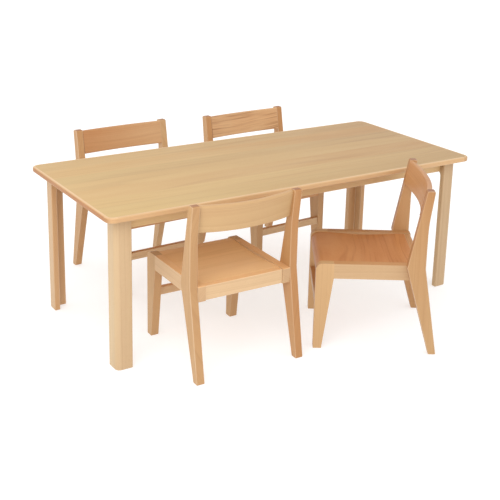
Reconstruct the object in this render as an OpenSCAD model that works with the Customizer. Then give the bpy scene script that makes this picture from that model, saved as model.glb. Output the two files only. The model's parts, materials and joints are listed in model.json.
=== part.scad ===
// Low rectangular table in beech with four matching children's chairs.
// The row's origin is on the floor at the middle of the whole set, +X along the table, +Z up.
// A chair is drawn in its own frame: origin on the floor under the middle of its front edge,
// +Y towards its back and +Z up. left and right are those of a child who sits on it.

/* [Table] */
// Length of the tabletop
table_l = 1500; // [1300:10:1800]
// Width of the tabletop
table_w = 660; // [620:10:760]
// Height of the tabletop above the floor
table_h = 530; // [500:10:590]
// Thickness of the tabletop
top_t = 18; // [16:1:22]
// Radius of the tabletop's corners, seen from above
corner_r = 30; // [20:1:32]
// Thickness of the solid lipping round the tabletop's edge
lip_t = 10; // [10:1:14]
// Radius of the lipping's rounded arrises
lip_r = 5; // [3:0.5:5]
// Distance from the tabletop's edge to the legs
leg_inset = 39; // [30:1:60]
// Side of the square block at the top of a leg
leg_size = 57; // [54:1:62]
// Thickness of a leg's two arms
leg_arm = 20; // [18:1:24]
// Radius of a leg's outer corner
leg_r = 18; // [10:1:19]
// Height of the aprons
apron_h = 44; // [40:1:60]
// Thickness of the aprons
apron_t = 20; // [18:1:22]

/* [Chair] */
// Width of the chair over its front legs
front_w = 342; // [320:2:360]
// Thickness of the front legs, side rails and rear legs
side_t = 28; // [26:1:30]
// Height of the side rails' top edge, where a child sits
seat_h = 305; // [290:5:320]
// Height of the side rails
rail_h = 52; // [46:1:56]
// Overall depth of the chair on the floor
chair_d = 410; // [400:2:430]
// Overall height of the chair
chair_h = 572; // [560:2:600]
// Width of the front leg's foot
front_foot = 28; // [24:1:32]
// Width of the front leg at the side rail
front_knee = 60; // [54:1:66]
// Radius of the side frame's top front corner
frame_r = 22; // [12:1:26]
// Thickness of the seat and backrest boards
board_t = 18; // [16:1:19]
// Depth of the hollow in the seat
seat_dish = 7; // [0:1:8]
// Height of the backrest board
back_board = 92; // [80:1:93]
// How far the backrest's middle curves back
back_sag = 22; // [14:1:28]
// Lean of the backrest board, degrees
back_lean = 11; // [8:0.5:13]

/* [Places of the chairs, from the middle of the table] */
// Front left chair: sideways place of the middle of its front edge
fl_x = -330; // [-400:2:-300]
// Front left chair: fore and aft place
fl_y = -92; // [-130:2:-80]
// Front left chair: turn, degrees
fl_turn = 179; // [178:1:182]
// Front right chair: sideways place of the middle of its front edge
fr_x = 22; // [20:2:60]
// Front right chair: fore and aft place
fr_y = -326; // [-350:2:-324]
// Front right chair: turn, degrees
fr_turn = -123; // [-124:1:-120]
// Back left chair: sideways place of the middle of its front edge
bl_x = -268; // [-320:2:-250]
// Back left chair: fore and aft place
bl_y = 224; // [200:2:260]
// Back left chair: turn, degrees
bl_turn = 2; // [-2:1:3]
// Back right chair: sideways place of the middle of its front edge
br_x = 304; // [290:2:360]
// Back right chair: fore and aft place
br_y = 206; // [200:2:260]
// Back right chair: turn, degrees
br_turn = 3; // [-2:1:3]

/* [Hidden] */
$fn = 64;
eps = 1;

// Table, derived
top_z = table_h - top_t;
half_l = table_l / 2;
half_w = table_w / 2;
corner_straight = 4;
corner_piece = corner_r + corner_straight;
leg_x = half_l - leg_inset;
leg_y = half_w - leg_inset;
arris = 3;
cove_r = 18;
apron_reveal = 1;
apron_back = leg_arm + apron_reveal;
apron_z = top_z - apron_h;
apron_in = apron_back + apron_t;
tenon_t = 10;
tenon_shoulder = 7;
tenon_h = apron_h - 2 * tenon_shoulder;
tenon_l = 12;
block_chamfer = 16;
brace_gap = 14;
brace_t = 20;
brace_lift = 4;
brace_h = apron_h - brace_lift;
brace_z = top_z - brace_h;
brace_near = 2 * leg_size - block_chamfer + brace_gap * sqrt(2);
brace_far = brace_near + brace_t * sqrt(2);
bolt_r = 4;
bolt_in = 32;
bolt_l = bolt_in + brace_gap + brace_t;
washer_r = 9;
washer_t = 1.5;
nut_r = 7.5;
nut_t = 6.5;
screw_r = 2;
screw_head_r = 4;
screw_head_t = 3;
screw_in_top = 12;
screw_side = 9;
hole_gap = 0.15;

// Chair, derived
rear_w = front_w + 2 * side_t;
frame_in = front_w / 2 - side_t;
seat_sunk = 2;
seat_top = seat_h - seat_sunk;
rear_foot = 25;
kink_front = 296;
kink_back = 357;
bend_z = 452;
bend_run = 60;
post_front = 344;
post_back = 371;
post_r = 6;
rail_end = 360;
rail_r = 4;
tongue_t = 10;
tongue_l = 30;
tongue_shoulder = 8;
tongue_z = seat_h - rail_h + tongue_shoulder;
tongue_h = rail_h - 2 * tongue_shoulder;
rear_rail_t = 22;
rear_rail_y = 335;
rear_rail_h = 48;
lip_out = 28;
lip_drop = 10;
lip_front = 2;
stretcher_y = 2;
stretcher_t = 20;
stretcher_z = 141;
stretcher_h = 28;
back_z = 480;
back_y = 328;
dowel_r = 4;
dowel_l = 32;

CHAIR_NAMES = ["front_left", "front_right", "back_left", "back_right"];
CHAIRS = [
    [fl_x, fl_y, fl_turn],
    [fr_x, fr_y, fr_turn],
    [bl_x, bl_y, bl_turn],
    [br_x, br_y, br_turn]
];
CORNERS = [[-1, -1], [1, -1], [-1, 1], [1, 1]];

// The floor places of the chairs' rear feet set how far the whole set reaches along Y.
foot_ys = [
    for (c = CHAIRS) for (s = [-1, 1])
        c[1] + s * sin(c[2]) * rear_w / 2 + cos(c[2]) * chair_d
];
shift_y = -(min(foot_ys) + max(foot_ys)) / 2;

TABLE_NODES = [
    "tabletop_panel", "corner_lippings", "corner_braces", "table_fasteners",
    for (w = ["front", "back"]) str(w, "_edge_lipping"),
    for (w = ["left", "right"]) str(w, "_edge_lipping"),
    for (w = ["front", "back", "left", "right"]) str(w, "_apron"),
    for (c = CHAIR_NAMES) str(c, "_table_leg")
];
CHAIR_PARTS = [
    "seat", "backrest", "left_front_leg", "right_front_leg", "left_side_rail",
    "right_side_rail", "left_rear_leg", "right_rear_leg", "rear_rail", "front_stretcher",
    "dowels"
];

// ---- helpers ----

// Points of an arc round [u, v], from angle a0 to a1 in n steps
function arc(u, v, r, a0, a1, n = 8) =
    [for (i = [0:n]) let (a = a0 + (a1 - a0) * i / n) [u + r * cos(a), v + r * sin(a)]];

// A plan outline with round corners, centred
module rounded_plan(l, w, r) {
    square([l - 2 * r, w], center = true);
    square([l, w - 2 * r], center = true);
    for (c = CORNERS)
        translate([c[0] * (l / 2 - r), c[1] * (w / 2 - r)]) circle(r);
}

// A plate cut from an outline drawn in Y and Z, between x0 and x0 + t
module side_plate(x0, t) {
    translate([x0, 0, 0]) rotate([90, 0, 90]) linear_extrude(t) children();
}

// A round bar along X, centred on [x, y, z]
module bar_x(x, y, z, r, l) {
    translate([x - l / 2, y, z]) rotate([0, 90, 0]) cylinder(r = r, h = l);
}

// Everything drawn for the corner at +X +Y, turned into the corner [sx, sy]
module in_corner(c) {
    mirror([c[0] < 0 ? 1 : 0, 0, 0]) mirror([0, c[1] < 0 ? 1 : 0, 0]) children();
}

module table_frame() {
    translate([0, shift_y, 0]) children();
}

module chair_frame(i) {
    c = CHAIRS[i];
    translate([c[0], c[1] + shift_y, 0]) rotate([0, 0, c[2]]) children();
}

// ---- table ----

// Section of the lipping: u runs outwards from its inner face, v up
module lipping_section() {
    square([lip_t - lip_r, top_t]);
    translate([0, lip_r]) square([lip_t, top_t - 2 * lip_r]);
    for (v = [lip_r, top_t - lip_r])
        translate([lip_t - lip_r, v]) circle(lip_r);
}

module lipping_run(l) {
    rotate([90, 0, 90]) translate([0, 0, -l / 2]) linear_extrude(l) lipping_section();
}

module long_lipping(s) {
    color("burlywood")
        mirror([0, s < 0 ? 1 : 0, 0])
        translate([0, half_w - lip_t, top_z]) lipping_run(table_l - 2 * corner_piece);
}

module end_lipping(s) {
    color("burlywood")
        mirror([s < 0 ? 1 : 0, 0, 0])
        translate([half_l - lip_t, 0, top_z]) rotate([0, 0, -90])
        lipping_run(table_w - 2 * corner_piece);
}

module corner_lipping() {
    translate([half_l - corner_r, half_w - corner_r, top_z])
        rotate_extrude(angle = 90) translate([corner_r - lip_t, 0]) lipping_section();
    translate([half_l - corner_r - corner_straight / 2, half_w - lip_t, top_z])
        lipping_run(corner_straight);
    translate([half_l - lip_t, half_w - corner_r - corner_straight / 2, top_z])
        rotate([0, 0, -90]) lipping_run(corner_straight);
}

module corner_lippings() {
    color("burlywood") for (c = CORNERS) in_corner(c) corner_lipping();
}

// The corner's own frame: origin at the leg's outer corner, +X and +Y run inwards
module from_leg() {
    translate([leg_x, leg_y, 0]) rotate([0, 0, 180]) children();
}

// Two screws through each brace hold the top. They start at the brace's underside.
module at_screws() {
    near = apron_in + screw_side;
    far = (brace_near + brace_far) / 2 - near;
    for (p = [[near, far], [far, near]])
        from_leg() translate([p[0], p[1], brace_z]) children();
}

module tabletop_panel() {
    color("wheat") difference() {
        translate([0, 0, top_z]) linear_extrude(top_t)
            rounded_plan(table_l - 2 * lip_t, table_w - 2 * lip_t, corner_r - lip_t);
        for (c = CORNERS) in_corner(c) at_screws()
            cylinder(r = screw_r + hole_gap, h = brace_h + screw_in_top + hole_gap);
    }
}

// Plan of a leg's top block: the outer corner is at the origin, the leg runs to +u and +v
module leg_plan() {
    difference() {
        union() {
            translate([leg_r, 0]) square([leg_size - leg_r - arris, leg_size]);
            translate([0, leg_r]) square([leg_size, leg_size - leg_r - arris]);
            translate([leg_r, leg_r]) circle(leg_r);
            translate([leg_size - arris, arris]) circle(arris);
            translate([arris, leg_size - arris]) circle(arris);
            translate([leg_r, arris]) square([leg_size - leg_r, leg_size - 2 * arris]);
            translate([arris, leg_r]) square([leg_size - 2 * arris, leg_size - leg_r]);
        }
        translate([leg_size, leg_size]) rotate(45)
            square([block_chamfer * sqrt(2), leg_size], center = true);
    }
}

// Side view of the space between a leg's arms, with a cove at its top end
module leg_hollow_side() {
    reach = leg_size + eps - leg_arm;
    translate([leg_arm, -eps]) square([reach, apron_z - cove_r + eps]);
    translate([leg_arm + cove_r, 0]) square([reach - cove_r, apron_z]);
    translate([leg_arm + cove_r, apron_z - cove_r]) circle(cove_r);
}

module leg_hollow() {
    intersection() {
        translate([0, leg_size + eps, 0]) rotate([90, 0, 0])
            linear_extrude(leg_size + eps) leg_hollow_side();
        rotate([90, 0, 90]) linear_extrude(leg_size + eps) leg_hollow_side();
    }
}

// The bolt runs level along the diagonal of the leg's top block, from inside it to the nut
module along_bolt() {
    mid = leg_size - block_chamfer / 2;
    translate([mid, mid, brace_z + brace_h / 2]) rotate([0, 90, 45])
        translate([0, 0, -bolt_in]) children();
}

// The aprons' tenons, drawn for the corner at +X +Y in the corner's own frame
module tenons(gap) {
    side = apron_back + (apron_t - tenon_t) / 2 - gap;
    size = [tenon_l + gap + eps, tenon_t + 2 * gap, tenon_h + 2 * gap];
    z = apron_z + (apron_h - tenon_h) / 2 - gap;
    translate([leg_size - tenon_l - gap, side, z]) cube(size);
    translate([side, leg_size - tenon_l - gap, z]) cube([size[1], size[0], size[2]]);
}

module table_leg(c) {
    color("burlywood") in_corner(c) from_leg() difference() {
        linear_extrude(top_z) leg_plan();
        leg_hollow();
        along_bolt() cylinder(r = bolt_r + hole_gap, h = bolt_l);
        tenons(hole_gap);
    }
}

// Long and end aprons: a board with a tenon on each end
module apron(l) {
    translate([-l / 2, 0, 0]) cube([l, apron_t, apron_h]);
    translate([-l / 2 - tenon_l, (apron_t - tenon_t) / 2, (apron_h - tenon_h) / 2])
        cube([l + 2 * tenon_l, tenon_t, tenon_h]);
}

module long_apron(s) {
    color("tan") mirror([0, s < 0 ? 1 : 0, 0])
        translate([0, leg_y - apron_in, apron_z]) apron(2 * (leg_x - leg_size));
}

module end_apron(s) {
    color("tan") mirror([s < 0 ? 1 : 0, 0, 0])
        translate([leg_x - apron_in, 0, apron_z]) rotate([0, 0, -90])
        apron(2 * (leg_y - leg_size));
}

// A brace lies across the inner corner of two aprons, clear of the leg's block
module corner_brace() {
    difference() {
        from_leg() translate([0, 0, brace_z]) linear_extrude(brace_h) polygon([
            [apron_in, brace_near - apron_in], [brace_near - apron_in, apron_in],
            [brace_far - apron_in, apron_in], [apron_in, brace_far - apron_in]
        ]);
        from_leg() along_bolt() cylinder(r = bolt_r + 2 * hole_gap, h = bolt_l + eps);
        at_screws() {
            translate([0, 0, -eps]) cylinder(r = screw_r + hole_gap, h = brace_h + 2 * eps);
            translate([0, 0, -eps])
                cylinder(r = screw_head_r + hole_gap, h = screw_head_t + hole_gap + eps);
        }
    }
}

module corner_braces() {
    color("sienna") for (c = CORNERS) in_corner(c) corner_brace();
}

// One bolt with its washer and nut against the brace, and the two screws beside it
module corner_fasteners() {
    from_leg() along_bolt() {
        cylinder(r = bolt_r, h = bolt_l + washer_t + nut_t + bolt_r);
        translate([0, 0, bolt_l]) cylinder(r = washer_r, h = washer_t);
        translate([0, 0, bolt_l + washer_t]) cylinder(r = nut_r, h = nut_t, $fn = 6);
    }
    at_screws() {
        cylinder(r = screw_r, h = brace_h + screw_in_top);
        cylinder(r = screw_head_r, h = screw_head_t);
    }
}

module table_fasteners() {
    color("silver") for (c = CORNERS) in_corner(c) corner_fasteners();
}

// ---- chair ----

// Each place is [x, y, z] of a dowel that lies along X, drawn for the left side. By rows:
// rear leg to side rail, seat, rear rail, front stretcher and backrest.
function dowel_spots() = [
    [front_w / 2, 316, seat_h - 13], [front_w / 2, 330, seat_h - 37],
    [frame_in, 90, seat_h - 14.5], [frame_in, 250, seat_h - 14.5],
    [frame_in, 346, seat_h - 37], [frame_in, 346, seat_h - 13],
    [frame_in, 12, stretcher_z + 9], [frame_in, 12, stretcher_z + stretcher_h - 9],
    [front_w / 2, 343, back_z + 20], [front_w / 2, 353, back_z + 70]
];

module chair_dowels(gap) {
    for (s = [-1, 1]) for (p = dowel_spots())
        bar_x(s * p[0], p[1], p[2], dowel_r + gap, dowel_l + 4 * gap);
}

module dowels() {
    color("moccasin") chair_dowels(0);
}

// A chair's piece with its dowel holes
module drilled() {
    difference() {
        children();
        chair_dowels(hole_gap);
    }
}

module on_side(s) {
    mirror([s < 0 ? 1 : 0, 0, 0]) children();
}

module front_leg_outline() {
    polygon(concat(
        [[0, 0], [front_foot, 0], [front_knee, seat_h - rail_h], [front_knee, seat_h]],
        arc(frame_r, seat_h - frame_r, frame_r, 90, 180)
    ));
}

// The tongue that joins a side rail to its front leg, on the left side
module tongue(gap) {
    translate([frame_in + (side_t - tongue_t) / 2 - gap, front_knee - tongue_l - gap, tongue_z - gap])
        cube([tongue_t + 2 * gap, tongue_l + gap + eps, tongue_h + 2 * gap]);
}

module front_leg(s) {
    color("burlywood") drilled() on_side(s) difference() {
        side_plate(frame_in, side_t) front_leg_outline();
        tongue(hole_gap);
    }
}

module side_rail_outline() {
    z0 = seat_h - rail_h;
    polygon(concat(
        [[front_knee, z0]],
        arc(rail_end - rail_r, z0 + rail_r, rail_r, -90, 0, 4),
        arc(rail_end - rail_r, seat_h - rail_r, rail_r, 0, 90, 4),
        [[front_knee, seat_h]]
    ));
}

module side_rail(s) {
    color("burlywood") drilled() on_side(s) union() {
        side_plate(frame_in, side_t) side_rail_outline();
        tongue(0);
    }
}

// The rear leg is widest at the seat. Its back edge rises straight, then bends to lean back.
module rear_leg_outline() {
    z_bend = bend_z - bend_run / 2;
    slope = (post_back - kink_back) / (chair_h - bend_z);
    polygon(concat(
        [[chair_d - rear_foot, 0], [chair_d, 0], [kink_back, seat_h]],
        [for (i = [0:6]) let (t = i / 6) [kink_back + slope * bend_run * t * t / 2, z_bend + bend_run * t]],
        arc(post_back - post_r, chair_h - post_r, post_r, 0, 90, 6),
        arc(post_front + post_r, chair_h - post_r, post_r, 90, 170, 6),
        [[kink_front, seat_h]]
    ));
}

module rear_leg(s) {
    color("burlywood") drilled() on_side(s) side_plate(front_w / 2, side_t) rear_leg_outline();
}

// Height of the seat's top surface along its depth
function seat_z(y) =
    let (u = (y - lip_front - lip_out) / (rear_rail_y - lip_front - lip_out))
    seat_top - seat_dish * (1 - cos(360 * u)) / 2;

module seat_outline() {
    y0 = lip_front + lip_out;
    steps = 16;
    run = rear_rail_y - y0;
    lip_z = seat_top - lip_out;
    polygon(concat(
        [[lip_front, lip_z - lip_drop]],
        arc(y0, lip_z, lip_out, 180, 90, 10),
        [for (i = [1:steps]) let (y = y0 + run * i / steps) [y, seat_z(y)]],
        [for (i = [steps:-1:1]) let (y = y0 + run * i / steps) [y, seat_z(y) - board_t]],
        arc(y0, lip_z, lip_out - board_t, 90, 180, 8),
        [[lip_front + board_t, lip_z - lip_drop]]
    ));
}

module seat() {
    color("peru") drilled() side_plate(-frame_in, 2 * frame_in) seat_outline();
}

module rear_rail() {
    color("burlywood") drilled()
        translate([-frame_in, rear_rail_y, seat_top - rear_rail_h])
        cube([2 * frame_in, rear_rail_t, rear_rail_h]);
}

module front_stretcher() {
    color("burlywood") drilled()
        translate([-frame_in, stretcher_y, stretcher_z])
        cube([2 * frame_in, stretcher_t, stretcher_h]);
}

// The backrest is a bent board: two round faces about one axis, cut square at the rear legs
module backrest() {
    half = front_w / 2;
    r_back = (half * half + back_sag * back_sag) / (2 * back_sag);
    color("burlywood") drilled() intersection() {
        translate([-half, 0, 0]) cube([2 * half, chair_d, chair_h]);
        translate([0, back_y, back_z]) rotate([-back_lean, 0, 0])
            translate([0, board_t + back_sag - r_back, 0])
            linear_extrude(back_board) intersection() {
                difference() {
                    circle(r_back, $fn = 720);
                    circle(r_back - board_t, $fn = 720);
                }
                translate([-half, 0]) square([2 * half, r_back + eps]);
            }
    }
}

// ---- the set ----

table_frame() tabletop_panel();
table_frame() corner_lippings();
table_frame() corner_braces();
table_frame() table_fasteners();
table_frame() long_lipping(-1);  // front_edge_lipping
table_frame() long_lipping(1);  // back_edge_lipping
table_frame() end_lipping(-1);  // left_edge_lipping
table_frame() end_lipping(1);  // right_edge_lipping
table_frame() long_apron(-1);  // front_apron
table_frame() long_apron(1);  // back_apron
table_frame() end_apron(-1);  // left_apron
table_frame() end_apron(1);  // right_apron
for (i = [0:3]) {
    table_frame() table_leg(CORNERS[i]);
}

for (i = [0:3]) {
    c = str(CHAIR_NAMES[i], "_chair_");
    chair_frame(i) seat();
    chair_frame(i) backrest();
    chair_frame(i) front_leg(1);
    chair_frame(i) front_leg(-1);
    chair_frame(i) side_rail(1);
    chair_frame(i) side_rail(-1);
    chair_frame(i) rear_leg(1);
    chair_frame(i) rear_leg(-1);
    chair_frame(i) rear_rail();
    chair_frame(i) front_stretcher();
    chair_frame(i) dowels();
}
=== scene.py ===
"""The looks of a low beech table and its four children's chairs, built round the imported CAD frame.

Each visible piece is rebuilt from the outline of its CAD node, with rounded arrises, and keeps its own
grain direction, its own place in the log and its own tone, as boards from different trees do.
"""

import json
import math
import random

import bmesh
import bpy
from mathutils import Matrix, Vector


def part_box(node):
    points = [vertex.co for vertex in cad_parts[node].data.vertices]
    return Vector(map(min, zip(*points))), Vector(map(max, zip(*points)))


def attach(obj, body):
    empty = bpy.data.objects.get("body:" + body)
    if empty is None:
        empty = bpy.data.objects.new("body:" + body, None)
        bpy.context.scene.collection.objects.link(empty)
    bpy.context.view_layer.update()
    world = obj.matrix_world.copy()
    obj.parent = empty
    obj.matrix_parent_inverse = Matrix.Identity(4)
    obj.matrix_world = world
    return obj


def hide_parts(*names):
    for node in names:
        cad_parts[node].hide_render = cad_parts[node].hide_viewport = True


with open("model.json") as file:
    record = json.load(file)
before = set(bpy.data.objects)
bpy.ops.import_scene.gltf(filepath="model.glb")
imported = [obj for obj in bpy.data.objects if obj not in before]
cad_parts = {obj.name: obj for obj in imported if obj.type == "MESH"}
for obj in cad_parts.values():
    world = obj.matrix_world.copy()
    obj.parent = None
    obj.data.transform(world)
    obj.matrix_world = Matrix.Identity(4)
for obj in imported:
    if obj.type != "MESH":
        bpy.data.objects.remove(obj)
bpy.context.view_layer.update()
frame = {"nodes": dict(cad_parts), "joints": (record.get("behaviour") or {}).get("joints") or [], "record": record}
NODES = frame["nodes"]
SLOTS = {s["node"]: s["material_slot"] for s in frame["record"]["subparts"]}
CHAIRS = [j["child"] for j in frame["joints"]]
TABLE = "table"
X, Y, Z = Vector((1, 0, 0)), Vector((0, 1, 0)), Vector((0, 0, 1))
CAD_FRAME = Matrix.Identity(4)

# ---- angles and tolerances in reading the CAD and shading it ----
WELD = 1e-5
NEAR = 0.0005
STRAIGHT = math.radians(0.3)
FLAT = math.radians(1)
SHARP = math.radians(25)
CREASE = math.radians(50)
FACE_WEIGHT = 90

# ---- sizes of the finish, in metres ----
ARRIS = 0.0022
SEAT_ARRIS = 0.003
APRON_ARRIS = 0.00154
BACK_TOP_R = 0.007
BACK_LOW_R = 0.004
LEG_ARRIS = 0.0025
LEG_COVE = 0.018
LEG_CHAMFER = 0.016
TOP_CORNER_R = 0.030
STAVE_WIDTHS = (0.092, 0.081, 0.104, 0.088, 0.079, 0.097, 0.085)

# ---- where a board is cut from its log, and its lean from the log's line, as limits for random draws ----
LOG_REACH = 9
LOG_OFFSET = 0.05
LOG_DEPTH = (0.03, 0.09)
LOG_LEAN = 0.03

# ---- how much tone and warmth differ by chance from piece to piece ----
TONE_SPREAD = 0.05
WARM_SPREAD = 0.06

# ---- how squarely a face has to cut the grain before it starts to show end grain ----
END_GRAIN_FROM = 0.6

# ---- tone and warmth of the tabletop's staves, from the front ----
STAVE_LOOKS = (
    (-0.05, -0.32),
    (0.06, -0.20),
    (-0.02, 0.30),
    (0.08, -0.05),
    (-0.05, -0.24),
    (0.04, 0.32),
    (-0.06, 0.10),
)
TOP_TONE = -0.06

# ---- how tone and warmth change along the grain of a few boards, per metre; on most this is painted light and shade ----
DRIFTS_AND_PAINTED_LIGHT = {
    # The tabletop darker and warmer towards the right.
    "tabletop_panel": (-0.28, 0.15),
    # Painted light: the front lipping lighter towards the right, against the falloff of the key light.
    "front_edge_lipping": (0.20, 0.00),
    # Painted sheen: the backrest lighter and paler towards the right, redder towards the left.
    "back_left_chair_backrest": (0.60, -1.40),
    # Painted light from the floor: the leg lighter and cooler towards its foot.
    "front_right_chair_left_rear_leg": (-0.45, 1.00),
}

# ---- tone of the lipping, and the painted light and shade of narrow faces against broad ones: (tone, warmth) ----
LIPPING_TONE = 0.12
# Painted sheen: the table legs' narrow side faces are painted lighter and cooler.
TABLE_LEG_PAINTED_SHEEN = (0.10, -0.30)
# Painted shade: the lipping's narrow faces are painted darker and redder, the left end's most.
LIPPING_PAINTED_SHADES = {"front": (-0.14, 0.30), "left": (-0.85, 0.85)}
LIPPING_PAINTED_SHADE = (-0.25, 0.35)

# ---- tone and warmth of each table leg ----
TABLE_LEG_LOOKS = {
    "front_left": (0.05, -0.05),
    "front_right": (0.06, -0.10),
    "back_left": (-0.02, 0.55),
    "back_right": (-0.12, 0.65),
}

# ---- tone and warmth of the aprons that differ: the front apron painted lighter and cooler, as painted light against the shade under the top ----
APRON_PAINTED_LIGHT = {"front": (0.26, -0.14)}

# ---- chair parts that meet flush, with no arris at the joint ----
FLUSH = ("front_leg", "side_rail", "seat")

# ---- camera: azimuth left of the front, elevation, roll, distance and lens ----
CAM_AZIMUTH = math.radians(32.92)
CAM_ELEVATION = math.radians(15.22)
CAM_ROLL = math.radians(1.37)
CAM_DISTANCE = 3.4
CAM_TARGET = Vector((-0.079, -0.025, 0.596))
CAM_LENS = 68.8
CAM_SHIFT_Y = -0.200

# ---- studio: places in metres, power in watts ----
WHITE = (1.0, 1.0, 1.0, 1.0)
SKY_STRENGTH = 1.08
FLOOR_REACH = 20
FLOOR_GAP = 0.0005
FLOOR_GREY = 0.50
FLOOR_GLOW = 0.60
KEY_PLACE = (-1.7, -1.4, 1.9)
KEY_AIM = (-0.1, 0, 0.3)
KEY_SIZE = (1.8, 1.5)
KEY_POWER = 26


# ---- reading the CAD ----

def welded(node, place):
    """A CAD node's mesh in a local frame, with the vertices along its sharp edges joined."""
    bm = bmesh.new()
    bm.from_mesh(NODES[node].data)
    bm.transform(place.inverted())
    bmesh.ops.remove_doubles(bm, verts=bm.verts, dist=WELD)
    return bm


def local_box(node, place):
    """Lowest and highest corner of a CAD node in a local frame."""
    points = [place.inverted() @ v.co for v in NODES[node].data.vertices]
    low = Vector([min(p[i] for p in points) for i in range(3)])
    high = Vector([max(p[i] for p in points) for i in range(3)])
    return low, high


def rings_of(faces):
    """The closed outlines round a set of faces, each as a list of points in order."""
    inside = set(faces)
    after = {}
    for f in faces:
        for loop in f.loops:
            if not any(g in inside for g in loop.edge.link_faces if g is not f):
                after[loop.vert] = loop.link_loop_next.vert
    rings = []
    while after:
        v = next(iter(after))
        ring = []
        while v in after:
            ring.append(v.co.copy())
            v = after.pop(v)
        rings.append(ring)
    return rings


def without_straights(ring):
    """The ring with the points along straight edges left out."""
    kept = []
    for i, p in enumerate(ring):
        a = (p - ring[i - 1]).normalized()
        b = (ring[(i + 1) % len(ring)] - p).normalized()
        if a.angle(b, 0) > STRAIGHT:
            kept.append(p)
    return kept


def perimeter(ring):
    return sum((p - ring[i - 1]).length for i, p in enumerate(ring))


def outline(node, place, axis):
    """The outer edge, without holes, of the flat face that a CAD node turns furthest along a local axis."""
    bm = welded(node, place)
    reach = max(v.co.dot(axis) for v in bm.verts)
    faces = [f for f in bm.faces if all(reach - v.co.dot(axis) < 10 * WELD for v in f.verts)]
    ring = without_straights(max(rings_of(faces), key=perimeter))
    bm.free()
    return ring


def chair_place(chair):
    """A chair's own frame: its origin is on the floor under its front edge, and its back is at +Y."""
    slide = next(j for j in frame["joints"] if j["child"] == chair)
    turn = Matrix.Rotation(math.atan2(-slide["axis"][0], slide["axis"][1]), 4, "Z")
    low_l, high_l = local_box(chair + "_left_front_leg", turn)
    low_r, high_r = local_box(chair + "_right_front_leg", turn)
    middle = (min(low_l.x, low_r.x) + max(high_l.x, high_r.x)) / 2
    return turn @ Matrix.Translation((middle, min(low_l.y, low_r.y), 0))


# ---- mesh building ----

def prism(ring, travel):
    """A solid between a ring of points and the same ring moved by travel."""
    bm = bmesh.new()
    low = [bm.verts.new(p) for p in ring]
    high = [bm.verts.new(p + travel) for p in ring]
    bm.faces.new(list(reversed(low)))
    bm.faces.new(high)
    for i in range(len(ring)):
        j = (i + 1) % len(ring)
        bm.faces.new((low[i], low[j], high[j], high[i]))
    bmesh.ops.recalc_face_normals(bm, faces=bm.faces)
    return bm


def swept(rings, closed_ends=True):
    """A solid through a row of rings that have the same number of points."""
    bm = bmesh.new()
    rows = [[bm.verts.new(p) for p in ring] for ring in rings]
    for a, b in zip(rows, rows[1:]):
        for i in range(len(a)):
            j = (i + 1) % len(a)
            bm.faces.new((a[i], a[j], b[j], b[i]))
    if closed_ends:
        bm.faces.new(list(reversed(rows[0])))
        bm.faces.new(rows[-1])
    bmesh.ops.recalc_face_normals(bm, faces=bm.faces)
    return bm


def round_arrises(bm, radius, keep=None):
    """Rounds the sharp edges, except those that keep picks out, and marks the new faces, which are painted
    lighter, partly as wear and partly as a painted highlight.
    """
    mark = bm.faces.layers.float.get("edge") or bm.faces.layers.float.new("edge")
    edges = [e for e in bm.edges if len(e.link_faces) == 2 and e.calc_face_angle(0) > SHARP]
    if keep:
        edges = [e for e in edges if not keep(e)]
    made = bmesh.ops.bevel(
        bm, geom=edges, offset=radius, offset_type="OFFSET", segments=3, profile=0.5,
        affect="EDGES", clamp_overlap=True,
    )
    for f in made["faces"]:
        f[mark] = 1.0


def cross_axes(along):
    """Two axes across the grain: one over the board's face and one through it."""
    across = Y if abs(along.dot(X)) > 0.5 or abs(along.dot(Z)) > 0.5 else X
    return across, along.cross(across)


def mark_grain(bm, along, log, stave_of=None):
    """Gives each corner its place in the log that the piece was cut from, and marks the end grain."""
    place = bm.loops.layers.float_vector.new("grain")
    tone_and_shading_layers = {name: bm.loops.layers.float.new(name) for name in ("tone", "warm")}
    marks = {name: bm.faces.layers.float.new(name) for name in ("endgrain", "figure")}
    across, through = cross_axes(along)
    painted_shading_tone, painted_shading_warm = log["narrow"]
    for f in bm.faces:
        piece = stave_of(f) if stave_of else 0
        luck = random.Random(log["seed"] * 101 + piece)
        run = luck.uniform(-LOG_REACH, LOG_REACH)
        offset = luck.uniform(-LOG_OFFSET, LOG_OFFSET)
        shift = Vector((run, offset, luck.uniform(*LOG_DEPTH)))
        lean = luck.uniform(-LOG_LEAN, LOG_LEAN)
        stave_tone, stave_warm = STAVE_LOOKS[piece] if stave_of else (0.0, 0.0)
        end = max(0.0, abs(f.normal.dot(along)) - END_GRAIN_FROM) / (1 - END_GRAIN_FROM)
        # Narrow faces get painted light and shade, added to their tone and warmth
        narrow = max(0.0, 1 - f.normal.dot(log["broad"]) ** 2 - end)
        f[marks["endgrain"]] = end * log["ends"]
        tone = log["tone"] + narrow * painted_shading_tone + stave_tone
        warm = log["warm"] + narrow * painted_shading_warm + stave_warm
        f[marks["figure"]] = log["figure"]
        for loop in f.loops:
            p = loop.vert.co
            u = p.dot(along)
            loop[place] = Vector((u * log["arches"], p.dot(across) + lean * u, p.dot(through))) + shift
            # Tone and warmth drift along the piece; on most drifting boards this is painted light and shade.
            loop[tone_and_shading_layers["tone"]] = tone + log["drift"][0] * u
            loop[tone_and_shading_layers["warm"]] = warm + log["drift"][1] * u
        f.smooth = True


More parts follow.
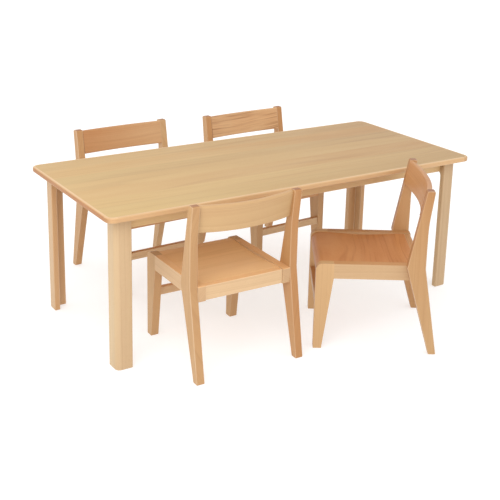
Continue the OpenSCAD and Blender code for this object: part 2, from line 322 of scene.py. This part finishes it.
def finished(name, bm, place, body, nodes, material, along, log, stave_of=None):
    """Turns a bmesh into a piece that rides on its body and stands for its CAD nodes."""
    if not bm.faces.layers.float.get("edge"):
        bm.faces.layers.float.new("edge")
    bmesh.ops.recalc_face_normals(bm, faces=bm.faces)
    mark_grain(bm, along, log, stave_of)
    for e in bm.edges:
        e.smooth = e.calc_face_angle(0) < CREASE
    mesh = bpy.data.meshes.new(name)
    bm.to_mesh(mesh)
    bm.free()
    mesh.materials.append(material)
    piece = bpy.data.objects.new(name, mesh)
    bpy.context.scene.collection.objects.link(piece)
    piece.matrix_world = place
    weighted = piece.modifiers.new("flat_faces", "WEIGHTED_NORMAL")
    weighted.keep_sharp = True
    weighted.weight = FACE_WEIGHT
    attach(piece, body)
    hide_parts(*nodes)
    return piece


# ---- materials ----

# The outputs of a noise node
FACTOR, COLOUR = 0, 1

# Patterns in the wood: changes a metre along the grain, across it and through the board
WANDER = (1.3, 5.0, 5.0)
FIBRES = (22.0, 1500.0, 1500.0)
PATCHES = (2.0, 14.0, 14.0)
FLECKS = (230.0, 2300.0, 1300.0)
RAYS = (420.0, 900.0, 2600.0)

# Growth rings and broad bands of them: changes a metre along the log and outwards from its middle
RINGS = (1.1, 260.0)
BANDS = (0.5, 70.0)
BANDS_SEED = 4.0

# How far the log's middle wanders, in metres
WANDER_REACH = (0.0, 0.030, 0.022)

# How much each pattern darkens the wood, and the shade of plain wood
LATE_SHADE = 0.55
FLECK_SHADE = 0.16
RAY_SHADE = -0.08
PLAIN_SHADE = 0.30

# Tints of a board that is warmer or cooler than the rest, and of end grain
WARM_TINT = (1.0, 0.80, 0.62, 1.0)
COOL_TINT = (0.96, 1.05, 1.00, 1.0)
END_TINT = (0.64, 0.46, 0.34, 1.0)
# Colour the arrises are lightened towards: partly wear, partly a painted highlight
WEAR_AND_HIGHLIGHT_COLOUR = (0.9, 0.80, 0.64, 1.0)

# Where in their log the hidden CAD nodes lie
CAD_LOG = (0.0, 0.07, 0.05)


class Graph:
    """A material's node tree, with short calls for the nodes that a wood needs."""

    def __init__(self, name):
        self.material = bpy.data.materials.new(name)
        self.material.use_nodes = True
        self.tree = self.material.node_tree
        self.tree.nodes.clear()
        self.shader = self.tree.nodes.new("ShaderNodeBsdfPrincipled")
        output = self.tree.nodes.new("ShaderNodeOutputMaterial")
        self.tree.links.new(self.shader.outputs[0], output.inputs["Surface"])

    def put(self, socket, value):
        if isinstance(value, bpy.types.NodeSocket):
            self.tree.links.new(value, socket)
        else:
            socket.default_value = value

    def attribute(self, name, output="Fac"):
        node = self.tree.nodes.new("ShaderNodeAttribute")
        node.attribute_name = name
        return node.outputs[output]

    def math(self, operation, a, b=0.0, clamp=False):
        node = self.tree.nodes.new("ShaderNodeMath")
        node.operation = operation
        node.use_clamp = clamp
        self.put(node.inputs[0], a)
        self.put(node.inputs[1], b)
        return node.outputs[0]

    def vector(self, operation, a, b):
        node = self.tree.nodes.new("ShaderNodeVectorMath")
        node.operation = operation
        self.put(node.inputs[0], a)
        self.put(node.inputs[1], b)
        return node.outputs["Value" if operation in ("LENGTH", "DOT_PRODUCT") else "Vector"]

    def combine(self, x, y, z):
        node = self.tree.nodes.new("ShaderNodeCombineXYZ")
        for socket, value in zip(node.inputs, (x, y, z)):
            self.put(socket, value)
        return node.outputs[0]

    def noise(self, vector, detail=2.0, rough=0.5, output=FACTOR):
        node = self.tree.nodes.new("ShaderNodeTexNoise")
        node.inputs["Scale"].default_value = 1.0
        node.inputs["Detail"].default_value = detail
        node.inputs["Roughness"].default_value = rough
        self.put(node.inputs["Vector"], vector)
        return node.outputs[output]

    def ramp(self, value, low, high, a=0.0, b=1.0):
        node = self.tree.nodes.new("ShaderNodeMapRange")
        node.interpolation_type = "SMOOTHSTEP"
        for socket, v in zip(node.inputs, (value, low, high, a, b)):
            self.put(socket, v)
        return node.outputs[0]

    def mix(self, factor, a, b, blend="MIX"):
        """A blend of two colours, whose sockets on the mix node are inputs 6 and 7 and output 2."""
        node = self.tree.nodes.new("ShaderNodeMix")
        node.data_type = "RGBA"
        node.blend_type = blend
        self.put(node.inputs[0], factor)
        self.put(node.inputs[6], a)
        self.put(node.inputs[7], b)
        return node.outputs[2]

    def pattern(self, grain, repeats, detail=2.0, rough=0.5, output=FACTOR):
        """Noise that changes so many times a metre along the grain, across it and through the board."""
        return self.noise(self.vector("MULTIPLY", grain, repeats), detail, rough, output)

    def times(self, value, amount):
        return self.math("MULTIPLY", value, amount)

    def swing(self, pattern, amount):
        """A pattern between 0 and 1 as a swing about zero."""
        return self.times(self.math("SUBTRACT", pattern, 0.5), amount)

    def total(self, *terms):
        """The sum of all the terms."""
        result = terms[0]
        for term in terms[1:]:
            result = self.math("ADD", result, term)
        return result

    def tinted(self, factor, colour, tint):
        """The colour, multiplied by a tint as far as the factor says."""
        return self.mix(factor, colour, self.mix(1.0, colour, tint, "MULTIPLY"))

    def bump(self, height, distance, strength):
        node = self.tree.nodes.new("ShaderNodeBump")
        node.inputs["Strength"].default_value = strength
        node.inputs["Distance"].default_value = distance
        self.put(node.inputs["Height"], height)
        self.tree.links.new(node.outputs[0], self.shader.inputs["Normal"])


def linear(r, g, b):
    """An sRGB colour from 0 to 255 as linear light."""
    def one(c):
        c /= 255
        return c / 12.92 if c <= 0.04045 else ((c + 0.055) / 1.055) ** 2.4
    return (one(r), one(g), one(b), 1.0)


def beech(
    name, light, dark, figure=0.30, fibre=0.14, blotch=0.30, rough=0.46, coat=0.10, on_cad=False
):
    """Lacquered beech.

    light and dark are the early and late wood, and figure is how plainly the rings show. on_cad is for
    hidden CAD nodes, which carry none of the marks that finished() gives a piece.
    """
    g = Graph(name)
    if on_cad:
        texture = g.tree.nodes.new("ShaderNodeTexCoord")
        grain = g.vector("ADD", texture.outputs["Object"], CAD_LOG)
    else:
        grain = g.attribute("grain", "Vector")
        figure = g.times(g.attribute("figure"), figure)

    # The log's centre line wanders, so the rings run out in arches on a board's face.
    wander = g.vector("SUBTRACT", g.pattern(grain, WANDER, 1.0, 0.5, COLOUR), (0.5,) * 3)
    bent = g.vector("ADD", grain, g.vector("MULTIPLY", wander, WANDER_REACH))
    radius = g.vector("LENGTH", g.vector("MULTIPLY", bent, (0.0, 1.0, 1.0)), (0.0,) * 3)
    run = g.vector("DOT_PRODUCT", grain, (1.0, 0.0, 0.0))
    rings = g.noise(g.combine(g.times(run, RINGS[0]), g.times(radius, RINGS[1]), 0.0), 2.0)
    bands = g.noise(g.combine(g.times(run, BANDS[0]), g.times(radius, BANDS[1]), BANDS_SEED), 1.0)
    late = g.ramp(rings, 0.50, 0.68)
    fibres = g.pattern(grain, FIBRES, 2.0, 0.6)
    patches = g.pattern(grain, PATCHES)
    flecks = g.ramp(g.pattern(grain, FLECKS, 1.0), 0.64, 0.74)
    rays = g.ramp(g.pattern(grain, RAYS, 0.0), 0.66, 0.78)

    shade = g.total(
        g.times(g.total(g.times(late, LATE_SHADE), g.swing(bands, 1.0)), figure),
        g.swing(fibres, fibre),
        g.swing(patches, blotch),
        g.times(flecks, FLECK_SHADE),
        g.times(rays, RAY_SHADE),
    )
    if not on_cad:
        # The tone attribute carries the board's own tone and the painted light and shade of narrow faces and
        # drifts
        shade = g.math("SUBTRACT", shade, g.attribute("tone"))
    shade = g.math("ADD", shade, PLAIN_SHADE, clamp=True)
    colour = g.mix(shade, light, dark)

    edge = 0.0
    if not on_cad:
        # A board's own warmth, from yellow to red, with the painted light and shade of narrow faces and drifts
        # that the warm attribute carries
        warmth_and_painted_shading = g.total(g.swing(patches, 0.5), g.attribute("warm"))
        colour = g.tinted(g.ramp(warmth_and_painted_shading, 0.0, 1.0), colour, WARM_TINT)
        colour = g.tinted(g.ramp(warmth_and_painted_shading, 0.0, -1.0), colour, COOL_TINT)
        # End grain drinks the lacquer and goes darker and redder.
        colour = g.tinted(g.attribute("endgrain"), colour, END_TINT)
        # The arrises are painted a little lighter, in patches: partly polish from hands, partly a painted
        # highlight.
        edge = g.attribute("edge")
        wear_and_highlight = g.times(edge, g.ramp(patches, 0.35, 0.65, 0.20, 0.60))
        colour = g.mix(wear_and_highlight, colour, g.mix(0.4, colour, WEAR_AND_HIGHLIGHT_COLOUR))
    g.put(g.shader.inputs["Base Color"], colour)

    gloss = g.total(
        rough, g.swing(fibres, 0.16), g.swing(patches, 0.10), g.times(flecks, 0.08), g.times(edge, -0.06)
    )
    g.put(g.shader.inputs["Roughness"], gloss)
    g.shader.inputs["Coat Weight"].default_value = coat
    g.shader.inputs["Coat Roughness"].default_value = 0.22
    g.shader.inputs["Specular IOR Level"].default_value = 0.32
    height = g.math("SUBTRACT", g.total(fibres, g.times(late, 0.5)), flecks)
    g.bump(height, 0.00012, 0.35)
    return g.material


def zinc(name):
    """Zinc plated steel with turning marks and a dull patchy bloom."""
    g = Graph(name)
    texture = g.tree.nodes.new("ShaderNodeTexCoord")
    where = texture.outputs["Object"]
    bloom = g.pattern(where, (240.0, 240.0, 240.0), 3.0, 0.6)
    lines = g.pattern(where, (900.0, 900.0, 5200.0), 1.0)
    g.put(g.shader.inputs["Base Color"], g.mix(bloom, linear(176, 178, 182), linear(216, 218, 216)))
    g.shader.inputs["Metallic"].default_value = 1.0
    g.put(g.shader.inputs["Roughness"], g.total(g.times(bloom, 0.25), 0.22))
    g.bump(lines, 0.00005, 0.3)
    return g.material


WOODS = {
    "top": beech("beech_top", linear(198, 163, 106), linear(158, 118, 70), blotch=0.26),
    "edge": beech("beech_edge", linear(216, 182, 138), linear(170, 128, 86), figure=0.20),
    "leg": beech("beech_leg", linear(204, 174, 136), linear(162, 126, 88), figure=0.28),
    "apron": beech("beech_apron", linear(216, 180, 130), linear(170, 130, 84), figure=0.20),
    "seat": beech("beech_seat", linear(226, 180, 128), linear(164, 108, 64), figure=0.24),
    "backrest": beech("beech_backrest", linear(208, 168, 124), linear(160, 114, 72), figure=0.34),
    "chair_leg": beech("beech_chair_leg", linear(200, 162, 116), linear(156, 114, 72), figure=0.24),
    "rail": beech("beech_rail", linear(222, 188, 146), linear(162, 124, 84), figure=0.26),
    "inner_wood": beech(
        "beech_inside", linear(190, 156, 112), linear(146, 110, 70), rough=0.62, coat=0.0, on_cad=True
    ),
    "steel": zinc("zinc_plate"),
}


def wood_of(node):
    return WOODS[SLOTS[node]]


def log_of(node, tone=0.0, warm=0.0, figure=1.0, arches=1.0, ends=1.0, broad=Z, narrow=(0.0, 0.0)):
    """A piece's place in a log. The seed comes from its name, so that it is the same each time."""
    seed = sum((i + 1) * ord(c) for i, c in enumerate(node))
    luck = random.Random(seed)
    return {
        "seed": seed,
        "tone": tone + luck.uniform(-TONE_SPREAD, TONE_SPREAD),
        "warm": warm + luck.uniform(-WARM_SPREAD, WARM_SPREAD),
        "figure": figure,
        "arches": arches,
        "ends": ends,
        # drift along the piece, on most boards painted light and shade
        "drift": DRIFTS_AND_PAINTED_LIGHT.get(node, (0.0, 0.0)),
        "broad": broad,
        "narrow": narrow,
    }


# ---- the table ----

def tabletop():
    """A panel glued up from staves that run along the table."""
    node = "tabletop_panel"
    ring = outline(node, CAD_FRAME, Z)
    low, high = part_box(node)
    bm = prism(ring, -Z * (high.z - low.z))
    cuts = []
    y = low.y
    for width in STAVE_WIDTHS[:-1]:
        y += width * (high.y - low.y) / sum(STAVE_WIDTHS)
        cuts.append(y)
    for cut in cuts:
        everything = bm.verts[:] + bm.edges[:] + bm.faces[:]
        bmesh.ops.bisect_plane(bm, geom=everything, plane_co=(0, cut, 0), plane_no=(0, 1, 0))

    def stave_of(face):
        return sum(face.calc_center_median().y > cut for cut in cuts)

    log = log_of(node, tone=TOP_TONE)
    finished("tabletop", bm, CAD_FRAME, TABLE, [node], wood_of(node), X, log, stave_of)


def edge_strip(side, along):
    """One straight length of lipping, with the CAD's round arrises."""
    node = side + "_edge_lipping"
    low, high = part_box(node)
    length = (high - low).dot(along)
    bm = prism(outline(node, CAD_FRAME, along), -along * length)
    # Its narrow faces get painted shade.
    log = log_of(node, LIPPING_TONE, narrow=LIPPING_PAINTED_SHADES.get(side, LIPPING_PAINTED_SHADE))
    finished(node, bm, CAD_FRAME, TABLE, [node], wood_of(node), along, log)


def corner_strips():
    """The four quarter rings of lipping. Each is the long lipping's section, swept round the corner."""
    node = "corner_lippings"
    strip = outline("back_edge_lipping", CAD_FRAME, X)
    low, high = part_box(node)
    strip_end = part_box("back_edge_lipping")[1].x
    section = [(high.y - p.y, p.z) for p in strip]
    middle = (low + high) / 2
    half = (high - low) / 2
    steps = 14
    for sx in (-1, 1):
        for sy in (-1, 1):
            centre = Vector((half.x - TOP_CORNER_R, half.y - TOP_CORNER_R, 0))
            rings = [[Vector((strip_end, half.y - d, z)) for d, z in section]]
            for i in range(steps + 1):
                a = math.pi / 2 * (1 - i / steps)
                out = Vector((math.cos(a), math.sin(a), 0))
                rings.append([centre + out * (TOP_CORNER_R - d) + Z * z for d, z in section])
            end_y = half.y - (half.x - strip_end)
            rings.append([Vector((half.x - d, end_y, z)) for d, z in section])
            placed = [
                [Vector((sx * p.x + middle.x, sy * p.y + middle.y, p.z)) for p in ring]
                for ring in rings
            ]
            name = f"corner_lipping_{'left' if sx < 0 else 'right'}_{'front' if sy < 0 else 'back'}"
            # Its narrow faces get painted shade.
            log = log_of(name, LIPPING_TONE, narrow=LIPPING_PAINTED_SHADE)
            finished(name, swept(placed), CAD_FRAME, TABLE, [node], wood_of(node), X, log)


def table_leg(corner):
    """An L-shaped leg that fills out to a square block at its top, with a cove between the two."""
    node = corner + "_table_leg"
    low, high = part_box(node)
    sx, sy = (1 if low.x > 0 else -1), (1 if corner.startswith("back") else -1)
    out = Vector((high.x if sx > 0 else low.x, high.y if sy > 0 else low.y, 0))

    def inwards(p):
        return Vector((sx * (out.x - p.x), sy * (out.y - p.y), p.z))

    def placed(u, v, z):
        return Vector((out.x - sx * u, out.y - sy * v, z))

    foot = [inwards(p) for p in outline(node, CAD_FRAME, -Z)]
    size = max(p.x for p in foot)
    # The notch's corner is the point nearest to the outer corner among those well inside the square.
    arm = min(p.x + p.y for p in foot if min(p.x, p.y) > 0.3 * size) / 2
    inner = min(range(len(foot)), key=lambda i: (foot[i] - Vector((arm, arm, 0))).length)
    foot = foot[inner:] + foot[:inner]
    before, after = foot[-1], foot[1]
    outer = foot[2:-1]
    block_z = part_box("front_apron")[0].z
    steps = 7

    def widened(p, grow):
        """The end of an arm's inner face, moved out by the cove but not past the leg's outside."""
        return Vector([c + grow * (c < size - WELD) for c in (p.x, p.y)] + [0])

    def section(grow, z):
        notch = Vector((arm + grow, arm + grow, 0))
        points = [notch, widened(after, grow)] + outer + [widened(before, grow)]
        return [placed(p.x, p.y, z) for p in points]

    rings = [section(0, 0)]
    for i in range(steps + 1):
        a = math.pi / 2 * i / steps
        rings.append(section(LEG_COVE * (1 - math.cos(a)), block_z - LEG_COVE * (1 - math.sin(a))))
    bm = swept(rings, closed_ends=False)
    bm.verts.ensure_lookup_table()
    count = len(rings[0])
    bm.faces.new(bm.verts[:count])
    last = bm.verts[len(bm.verts) - count:]
    notch, a, b = last[0], last[1], last[-1]

    def chamfer_end(v):
        p = inwards(v.co)
        far = size - LEG_CHAMFER
        q = Vector((size, far, 0)) if p.x > p.y else Vector((far, size, 0))
        return bm.verts.new(placed(q.x, q.y, block_z))

    end_a, end_b = chamfer_end(a), chamfer_end(b)
    bm.faces.new((notch, a, end_a, end_b, b))
    base = [end_b, end_a, a] + last[2:-1] + [b]
    top = [bm.verts.new(Vector((v.co.x, v.co.y, high.z))) for v in base]
    for i in range(len(base)):
        j = (i + 1) % len(base)
        bm.faces.new((base[i], base[j], top[j], top[i]))
    bm.faces.new(top)
    bmesh.ops.recalc_face_normals(bm, faces=bm.faces)
    round_arrises(bm, LEG_ARRIS, keep=lambda e: all(v.co.z > block_z + WELD for v in e.verts))
    tone, warm = TABLE_LEG_LOOKS[corner]
    # Its narrow side faces get a painted sheen.
    log = log_of(node, tone, warm, broad=Y, narrow=TABLE_LEG_PAINTED_SHEEN)
    finished(node, bm, CAD_FRAME, TABLE, [node], wood_of(node), Z, log)


def apron(side, along):
    """A rail under the top, with the tenons that go into the legs."""
    node = side + "_apron"
    bm = welded(node, CAD_FRAME)
    bmesh.ops.dissolve_limit(bm, angle_limit=FLAT, verts=bm.verts, edges=bm.edges)
    round_arrises(bm, APRON_ARRIS)
    # The front apron is painted lighter, as painted light.
    log = log_of(node, *APRON_PAINTED_LIGHT.get(side, (0.0, 0.0)))
    finished(node, bm, CAD_FRAME, TABLE, [node], wood_of(node), along, log)


# ---- the chairs ----

def board(chair, part, face, along, look, arris=ARRIS):
    """A piece sawn from a board: the outline of one flat face, taken through the whole thickness."""
    node = f"{chair}_{part}"
    place = chair_place(chair)
    low, high = local_box(node, place)
    ring = outline(node, place, face)
    bm = prism(ring, -face * abs((high - low).dot(face)))
    round_arrises(bm, arris, keep=flush_edges(chair, place) if part.endswith(FLUSH) else None)
    size = high - low
    broad = min((X, Y, Z), key=lambda axis: size.dot(axis))
    tone, warm = ODD_LOOKS.get(node, (look["tone"], look["warm"]))
    log = log_of(node, broad=broad, **{**look, "tone": tone, "warm": warm})
    finished(node, bm, place, chair, [node], wood_of(node), along, log)


def flush_edges(chair, place):
    """Picks out the edges of the flush joints in a side frame and beside the seat, which stay sharp."""
    joint_y = rail_front(chair + "_left_side_rail", place)
    low_z = local_box(chair + "_left_side_rail", place)[0].z
    seat_low, seat_high = local_box(chair + "_seat", place)

    def tell(edge):
        points = [v.co for v in edge.verts]
        in_frame = all(abs(p.y - joint_y) < NEAR and p.z > low_z - NEAR for p in points)
        by_seat = all(abs(abs(p.x) - seat_high.x) < NEAR and p.z > seat_low.z - NEAR for p in points)
        return in_frame or by_seat

    return tell


def rail_front(node, place):
    """How far forward a side rail's broad face runs, without its hidden tongue."""
    return min(p.y for p in outline(node, place, X))


def backrest(chair, **look):
    """A bent board between the rear legs: a section with a well rounded top edge, swept round the bend."""
    node = chair + "_backrest"
    place = chair_place(chair)
    end = outline(node, place, X)
    sides = [(end[i] - end[i - 1]) for i in range(len(end))]
    up = max(sides, key=lambda s: s.length).normalized()
    up = up if up.z > 0 else -up
    back = up.cross(X).normalized()
    back = back if back.y > 0 else -back
    points = [place.inverted() @ v.co for v in NODES[node].data.vertices]
    half = max(p.x for p in points)
    bottom, top = min(p.dot(up) for p in points), max(p.dot(up) for p in points)
    end_in, end_out = min(p.dot(back) for p in end), max(p.dot(back) for p in end)
    bow = max(p.dot(back) for p in points) - end_out
    outer_r = (half * half + bow * bow) / (2 * bow)
    middle = end_out + bow - outer_r
    inner_r = math.hypot(end_in - middle, half)
    thick = outer_r - inner_r

    def corner(r, centre_t, centre_h, start, steps=5):
        angles = [start + math.pi / 2 * i / steps for i in range(steps + 1)]
        return [(centre_t + r * math.cos(a), centre_h + r * math.sin(a)) for a in angles]

    tall = top - bottom
    section = (
        corner(BACK_TOP_R, thick - BACK_TOP_R, tall - BACK_TOP_R, 0)
        + corner(BACK_TOP_R, BACK_TOP_R, tall - BACK_TOP_R, math.pi / 2)
        + corner(BACK_LOW_R, BACK_LOW_R, BACK_LOW_R, math.pi)
        + corner(BACK_LOW_R, thick - BACK_LOW_R, BACK_LOW_R, 1.5 * math.pi)
    )
    steps = 28
    rings = []
    for i in range(steps + 1):
        x = half * (2 * i / steps - 1)
        ring = []
        for t, h in section:
            depth = middle + math.sqrt((inner_r + t) ** 2 - x * x)
            ring.append(X * x + back * depth + up * (bottom + h))
        rings.append(ring)
    bm = swept(rings)
    finished(node, bm, place, chair, [node], wood_of(node), X, log_of(node, **look))


# How each chair's wood differs: (tone, warmth, figure) of its parts
CHAIR_LOOKS = {
    "front_left_chair": {
        "seat": (0.28, 0.00, 1.0), "backrest": (-0.06, -0.60, 0.6),
        "front_legs": (0.05, 0.00, 1.0), "rear_legs": (0.00, 0.05, 1.0), "rails": (-0.03, -0.05, 1.0),
    },
    "front_right_chair": {
        "seat": (-0.35, 0.70, 1.4), "backrest": (-0.20, 0.70, 0.8),
        "front_legs": (0.10, 0.15, 1.0), "rear_legs": (-0.18, 0.45, 1.0), "rails": (-0.30, 0.05, 1.0),
    },
    "back_left_chair": {
        "seat": (-0.20, 0.35, 1.0), "backrest": (-0.14, 0.45, 0.7),
        "front_legs": (0.10, -0.10, 1.0), "rear_legs": (0.12, -0.15, 1.0), "rails": (-0.08, 0.00, 1.0),
    },
    "back_right_chair": {
        "seat": (-0.20, 0.35, 1.0), "backrest": (0.20, 0.30, 3.2),
        "front_legs": (0.05, 0.00, 1.0), "rear_legs": (0.00, 0.35, 1.0), "rails": (-0.08, -0.10, 1.0),
    },
}

# The painted light and shade of the narrow faces of a chair's legs and of its rails: the legs' front and back
# faces painted darker and redder as painted shade, the rails' narrow faces painted warmer as painted top light, so
# that their tops go with the seat
CHAIR_PAINTED_SHADING = {
    "front_left_chair": ((-0.12, 0.25), (0.30, 0.85)),
    "front_right_chair": ((-0.20, 0.40), (-0.08, 1.00)),
    "back_left_chair": ((-0.08, 0.05), (0.00, 0.60)),
    "back_right_chair": ((-0.15, 0.30), (0.00, 0.60)),
}

# Pieces that differ from the rest of their chair: (tone, warmth)
ODD_LOOKS = {
    "front_left_chair_right_rear_leg": (-0.12, 0.55),
    "front_right_chair_left_rear_leg": (-0.08, 0.08),
    "back_left_chair_right_rear_leg": (-0.05, 0.30),
}

# How plainly the ends of the front legs and rails show end grain, against 1 for the other parts
FRONT_LEG_ENDS = 0.05
RAIL_ENDS = 0.30

# Boards whose rings run out in arches, and how closely the arches follow one another
ARCHES = {"back_right_chair_backrest": 4.5, "front_right_chair_seat": 2.2}


def chair(name):
    """A chair's visible pieces."""
    looks = {}
    for part, look in CHAIR_LOOKS[name].items():
        looks[part] = dict(zip(("tone", "warm", "figure"), look))
    # Painted light and shade on the narrow faces of the legs and rails
    leg_painted_shading, rail_painted_shading = CHAIR_PAINTED_SHADING[name]
    looks["front_legs"].update(narrow=leg_painted_shading, ends=FRONT_LEG_ENDS)
    looks["rear_legs"].update(narrow=leg_painted_shading)
    looks["rails"].update(narrow=rail_painted_shading, ends=RAIL_ENDS)
    for part in ("seat", "backrest"):
        looks[part].update(arches=ARCHES.get(f"{name}_{part}", 1.0))
    board(name, "seat", X, X, looks["seat"], SEAT_ARRIS)
    backrest(name, **looks["backrest"])
    for side, outwards in (("left", X), ("right", -X)):
        board(name, side + "_front_leg", outwards, Z, looks["front_legs"])
        board(name, side + "_rear_leg", outwards, Z, looks["rear_legs"])
        board(name, side + "_side_rail", outwards, Y, looks["rails"])
    board(name, "rear_rail", X, X, looks["rails"])
    board(name, "front_stretcher", X, X, looks["rails"])


# ---- the studio ----

def camera():
    """The camera, which looks from the left of the front and a little above."""
    sight = Vector((
        math.sin(CAM_AZIMUTH) * math.cos(CAM_ELEVATION),
        math.cos(CAM_AZIMUTH) * math.cos(CAM_ELEVATION),
        -math.sin(CAM_ELEVATION),
    ))
    level = Vector((math.cos(CAM_AZIMUTH), -math.sin(CAM_AZIMUTH), 0))
    upright = level.cross(sight)
    right = level * math.cos(CAM_ROLL) + upright * math.sin(CAM_ROLL)
    up = upright * math.cos(CAM_ROLL) - level * math.sin(CAM_ROLL)
    data = bpy.data.cameras.new("camera")
    data.lens = CAM_LENS
    data.sensor_width = 36.0
    data.shift_y = CAM_SHIFT_Y
    data.clip_start = 0.05
    data.clip_end = 60.0
    made = bpy.data.objects.new("camera", data)
    bpy.context.scene.collection.objects.link(made)
    turned = Matrix((right, up, -sight)).transposed().to_4x4()
    made.matrix_world = Matrix.Translation(CAM_TARGET - sight * CAM_DISTANCE) @ turned
    bpy.context.scene.camera = made


def area_light(name, place, towards, size, power):
    data = bpy.data.lights.new(name, "AREA")
    data.shape = "RECTANGLE"
    data.size, data.size_y = size
    data.energy = power
    lamp = bpy.data.objects.new(name, data)
    bpy.context.scene.collection.objects.link(lamp)
    lamp.location = place
    lamp.rotation_euler = (Vector(towards) - Vector(place)).to_track_quat("-Z", "Y").to_euler()


def studio():
    """A white floor that glows a little, as on a light table, and a large soft light from the left."""
    bm = bmesh.new()
    bmesh.ops.create_grid(bm, x_segments=8, y_segments=8, size=FLOOR_REACH)
    mesh = bpy.data.meshes.new("floor")
    bm.to_mesh(mesh)
    bm.free()
    g = Graph("floor_white")
    g.put(g.shader.inputs["Base Color"], (FLOOR_GREY, FLOOR_GREY, FLOOR_GREY, 1.0))
    g.shader.inputs["Roughness"].default_value = 0.9
    g.shader.inputs["Specular IOR Level"].default_value = 0.1
    g.shader.inputs["Emission Color"].default_value = WHITE
    g.shader.inputs["Emission Strength"].default_value = FLOOR_GLOW
    mesh.materials.append(g.material)
    floor = bpy.data.objects.new("floor", mesh)
    bpy.context.scene.collection.objects.link(floor)
    floor.location = (0, 0, -FLOOR_GAP)

    world = bpy.data.worlds.new("studio")
    world.use_nodes = True
    background = world.node_tree.nodes["Background"]
    background.inputs["Color"].default_value = WHITE
    background.inputs["Strength"].default_value = SKY_STRENGTH
    bpy.context.scene.world = world

    area_light("key", KEY_PLACE, KEY_AIM, KEY_SIZE, KEY_POWER)

    view = bpy.context.scene.view_settings
    view.view_transform = "Standard"
    view.look = "None"
    view.exposure = 0.0
    view.gamma = 1.0


camera()
studio()
tabletop()
for side in ("front", "back"):
    edge_strip(side, X)
    apron(side, X)
for side in ("left", "right"):
    edge_strip(side, Y)
    apron(side, Y)
corner_strips()
for corner in ("front_left", "front_right", "back_left", "back_right"):
    table_leg(corner)
for name in CHAIRS:
    chair(name)

hidden = ["corner_braces", "table_fasteners"] + [name + "_dowels" for name in CHAIRS]
for node in hidden:
    for i in range(len(NODES[node].material_slots)):
        NODES[node].material_slots[i].material = wood_of(node)
